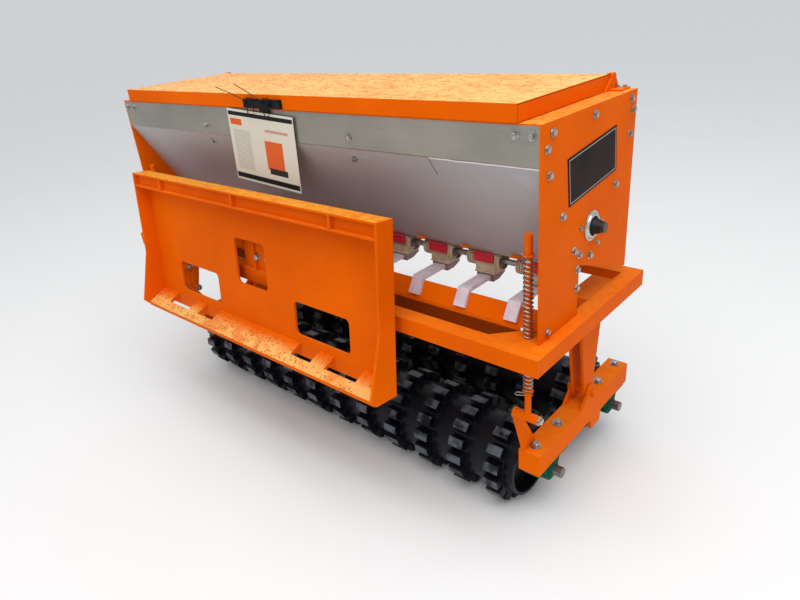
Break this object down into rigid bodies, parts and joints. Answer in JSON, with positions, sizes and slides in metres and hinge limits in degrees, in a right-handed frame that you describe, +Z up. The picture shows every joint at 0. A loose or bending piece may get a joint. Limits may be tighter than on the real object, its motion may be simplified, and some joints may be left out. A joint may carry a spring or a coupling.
{
  "type": "skid steer seed drill",
  "caption": "Seed drill for a loader: hinged-lid stainless hopper, seed meters and tubes, over two lugged rollers on walking arms, with a quick-attach plate.",
  "frame": {"origin": "on the ground under the middle of the machine's outer box", "axes": "+X to the machine's right end, across the working width; +Y to its back, away from the loader; +Z up"},
  "size_m": [1.752, 0.8599, 1.1449],
  "materials": {
    "orange_paint": "glossy orange machine paint, wet in places",
    "stainless_sheet": "brushed stainless sheet, the sloped part under dull grey film",
    "black_plastic": "black moulded plastic",
    "black_plaque": "glossy black with a thin pale border",
    "white_card": "laminated card with plain bands and no text",
    "beige_plastic": "beige moulded plastic",
    "red_plastic": "red moulded plastic",
    "ribbed_plastic": "pale moulded plastic wheels on a steel shaft",
    "smoked_plastic": "smoked clear plastic",
    "clear_tube": "milky clear plastic",
    "bright_steel": "turned steel",
    "pressed_steel": "pressed bearing flange with a black rubber boot",
    "green_iron": "dark green painted castings",
    "plated_spring": "plated spring wire",
    "black_iron": "black painted iron with wet faces"
  },
  "bodies": {
    "machine": {"frame_front": "orange_paint", "frame_rear": "orange_paint", "frame_side_left": "orange_paint", "frame_side_right": "orange_paint", "end_plate_left": "orange_paint", "end_plate_right": "orange_paint", "hopper_rim": "orange_paint", "hopper_front_sheet": "stainless_sheet", "hopper_back_sheet": "stainless_sheet", "hopper_floor": "stainless_sheet", "lid_hinges": "orange_paint", "name_plaque": "black_plaque", "seed_meters": "beige_plastic", "meter_shutters": "red_plastic", "meter_boxes": "smoked_plastic", "seed_tubes": "clear_tube", "seed_deflector": "orange_paint", "shaft_bearings": "pressed_steel", "arm_left": "orange_paint", "arm_right": "orange_paint", "arm_brackets": "orange_paint", "pillow_blocks": "green_iron", "lift_rods": "orange_paint", "rod_springs": "plated_spring", "attach_plate": "orange_paint", "attach_lip": "orange_paint", "attach_flange_left": "orange_paint", "attach_flange_right": "orange_paint", "attach_shelf": "orange_paint", "hitch_links": "orange_paint", "hitch_brackets": "orange_paint"},
    "lid": {"lid": "orange_paint", "latch": "black_plastic", "spec_card": "white_card"},
    "meter_drive": {"meter_shaft": "ribbed_plastic"},
    "agitator": {"agitator": "bright_steel"},
    "front_roller": {"roller_front": "black_iron"},
    "rear_roller": {"roller_rear": "black_iron"}
  },
  "joints": [
    {"name": "lid_hinge", "type": "hinge", "parent": "machine", "child": "lid", "pos_m": [0, 0.194, 1.133], "axis": [-1, 0, 0], "range_deg": [0, 100]},
    {"name": "front_roller_spin", "type": "hinge", "parent": "machine", "child": "front_roller", "pos_m": [0, -0.077, 0.135], "axis": [1, 0, 0], "continuous": true},
    {"name": "rear_roller_spin", "type": "hinge", "parent": "machine", "child": "rear_roller", "pos_m": [0, 0.295, 0.135], "axis": [1, 0, 0], "continuous": true},
    {"name": "meter_spin", "type": "hinge", "parent": "machine", "child": "meter_drive", "pos_m": [0, -0.035, 0.71], "axis": [1, 0, 0], "continuous": true},
    {"name": "agitator_spin", "type": "hinge", "parent": "machine", "child": "agitator", "pos_m": [0, 0.008, 0.828], "axis": [1, 0, 0], "continuous": true}
  ]
}
